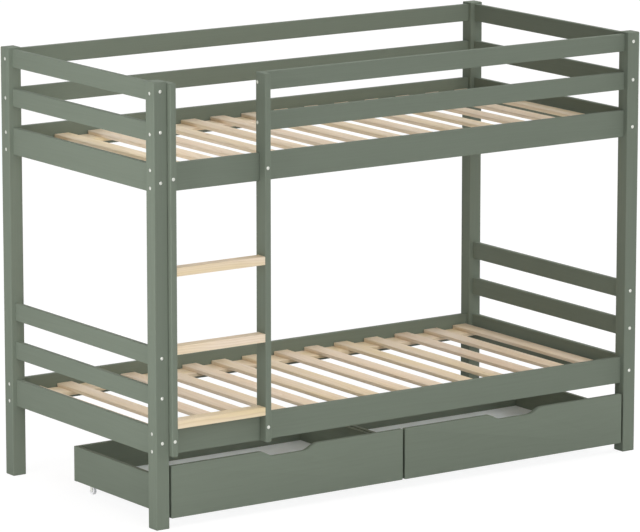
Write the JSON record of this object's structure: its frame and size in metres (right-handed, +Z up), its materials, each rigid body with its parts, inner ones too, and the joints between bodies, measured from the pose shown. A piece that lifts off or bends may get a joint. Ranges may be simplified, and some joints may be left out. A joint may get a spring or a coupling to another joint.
{
  "type": "bunk bed with drawers",
  "caption": "Bunk bed with upper and lower slatted beds, guard rails, a fixed front ladder and rolling drawers with cut-out grips under the lower bed.",
  "frame": {"origin": "on the floor, under the middle of the bed's footprint", "axes": "+X along the bed towards the end away from the ladder, +Y across the bed from the ladder side to the back, +Z up"},
  "size_m": [2.08, 1.023, 1.55],
  "materials": {
    "sage_paint": "satin sage green paint over pine, with faint grain",
    "pine": "bare planed pine, matt",
    "grey_board": "pale grey coated board, matt",
    "zinc_steel": "bright zinc plate",
    "pale_plastic": "translucent pale plastic"
  },
  "bodies": {
    "frame": {"front_left_post": "sage_paint", "front_right_post": "sage_paint", "back_left_post": "sage_paint", "back_right_post": "sage_paint", "lower_left_end_main_rail": "sage_paint", "lower_left_end_low_guard": "sage_paint", "lower_left_end_top_guard": "sage_paint", "upper_left_end_main_rail": "sage_paint", "upper_left_end_low_guard": "sage_paint", "upper_left_end_top_guard": "sage_paint", "lower_right_end_main_rail": "sage_paint", "lower_right_end_low_guard": "sage_paint", "lower_right_end_top_guard": "sage_paint", "upper_right_end_main_rail": "sage_paint", "upper_right_end_low_guard": "sage_paint", "upper_right_end_top_guard": "sage_paint", "lower_front_main_rail": "sage_paint", "lower_back_main_rail": "sage_paint", "upper_front_main_rail": "sage_paint", "upper_back_main_rail": "sage_paint", "upper_back_low_guard": "sage_paint", "upper_back_top_guard": "sage_paint", "upper_front_low_guard": "sage_paint", "upper_front_top_guard": "sage_paint", "ladder_left_stile": "sage_paint", "ladder_right_stile": "sage_paint", "ladder_rung_1": "pine", "ladder_rung_2": "pine", "ladder_rung_3": "pine", "lower_slatted_base": "pine", "upper_slatted_base": "pine"},
    "left_drawer": {"left_drawer_front": "sage_paint", "left_drawer_back": "sage_paint", "left_drawer_left_side": "sage_paint", "left_drawer_right_side": "sage_paint", "left_drawer_bottom": "grey_board", "left_drawer_front_left_castor_bracket": "zinc_steel", "left_drawer_front_right_castor_bracket": "zinc_steel", "left_drawer_back_left_castor_bracket": "zinc_steel", "left_drawer_back_right_castor_bracket": "zinc_steel"},
    "right_drawer": {"right_drawer_front": "sage_paint", "right_drawer_back": "sage_paint", "right_drawer_left_side": "sage_paint", "right_drawer_right_side": "sage_paint", "right_drawer_bottom": "grey_board", "right_drawer_front_left_castor_bracket": "zinc_steel", "right_drawer_front_right_castor_bracket": "zinc_steel", "right_drawer_back_left_castor_bracket": "zinc_steel", "right_drawer_back_right_castor_bracket": "zinc_steel"},
    "left_drawer_front_left_castor": {"left_drawer_front_left_wheel": "pale_plastic"},
    "left_drawer_front_right_castor": {"left_drawer_front_right_wheel": "pale_plastic"},
    "left_drawer_back_left_castor": {"left_drawer_back_left_wheel": "pale_plastic"},
    "left_drawer_back_right_castor": {"left_drawer_back_right_wheel": "pale_plastic"},
    "right_drawer_front_left_castor": {"right_drawer_front_left_wheel": "pale_plastic"},
    "right_drawer_front_right_castor": {"right_drawer_front_right_wheel": "pale_plastic"},
    "right_drawer_back_left_castor": {"right_drawer_back_left_wheel": "pale_plastic"},
    "right_drawer_back_right_castor": {"right_drawer_back_right_wheel": "pale_plastic"}
  },
  "joints": [
    {"name": "left_drawer_slide", "type": "slide", "parent": "frame", "child": "left_drawer", "axis": [0, -1, 0], "range_m": [0, 0.55]},
    {"name": "right_drawer_slide", "type": "slide", "parent": "frame", "child": "right_drawer", "axis": [0, -1, 0], "range_m": [0, 0.55]},
    {"name": "left_drawer_front_left_wheel_spin", "type": "hinge", "parent": "left_drawer", "child": "left_drawer_front_left_castor", "pos_m": [-0.9473, -0.3265, 0.0153], "axis": [1, 0, 0], "continuous": true},
    {"name": "left_drawer_front_right_wheel_spin", "type": "hinge", "parent": "left_drawer", "child": "left_drawer_front_right_castor", "pos_m": [-0.03675, -0.3265, 0.0153], "axis": [1, 0, 0], "continuous": true},
    {"name": "left_drawer_back_left_wheel_spin", "type": "hinge", "parent": "left_drawer", "child": "left_drawer_back_left_castor", "pos_m": [-0.9473, 0.0685, 0.0153], "axis": [1, 0, 0], "continuous": true},
    {"name": "left_drawer_back_right_wheel_spin", "type": "hinge", "parent": "left_drawer", "child": "left_drawer_back_right_castor", "pos_m": [-0.03675, 0.0685, 0.0153], "axis": [1, 0, 0], "continuous": true},
    {"name": "right_drawer_front_left_wheel_spin", "type": "hinge", "parent": "right_drawer", "child": "right_drawer_front_left_castor", "pos_m": [0.03675, -0.3265, 0.0153], "axis": [1, 0, 0], "continuous": true},
    {"name": "right_drawer_front_right_wheel_spin", "type": "hinge", "parent": "right_drawer", "child": "right_drawer_front_right_castor", "pos_m": [0.9473, -0.3265, 0.0153], "axis": [1, 0, 0], "continuous": true},
    {"name": "right_drawer_back_left_wheel_spin", "type": "hinge", "parent": "right_drawer", "child": "right_drawer_back_left_castor", "pos_m": [0.03675, 0.0685, 0.0153], "axis": [1, 0, 0], "continuous": true},
    {"name": "right_drawer_back_right_wheel_spin", "type": "hinge", "parent": "right_drawer", "child": "right_drawer_back_right_castor", "pos_m": [0.9473, 0.0685, 0.0153], "axis": [1, 0, 0], "continuous": true}
  ],
  "couplings": [
    {"joint": "left_drawer_front_left_wheel_spin", "follows": "left_drawer_slide", "rad_per_m": 66.667},
    {"joint": "left_drawer_front_right_wheel_spin", "follows": "left_drawer_slide", "rad_per_m": 66.667},
    {"joint": "left_drawer_back_left_wheel_spin", "follows": "left_drawer_slide", "rad_per_m": 66.667},
    {"joint": "left_drawer_back_right_wheel_spin", "follows": "left_drawer_slide", "rad_per_m": 66.667},
    {"joint": "right_drawer_front_left_wheel_spin", "follows": "right_drawer_slide", "rad_per_m": 66.667},
    {"joint": "right_drawer_front_right_wheel_spin", "follows": "right_drawer_slide", "rad_per_m": 66.667},
    {"joint": "right_drawer_back_left_wheel_spin", "follows": "right_drawer_slide", "rad_per_m": 66.667},
    {"joint": "right_drawer_back_right_wheel_spin", "follows": "right_drawer_slide", "rad_per_m": 66.667}
  ]
}
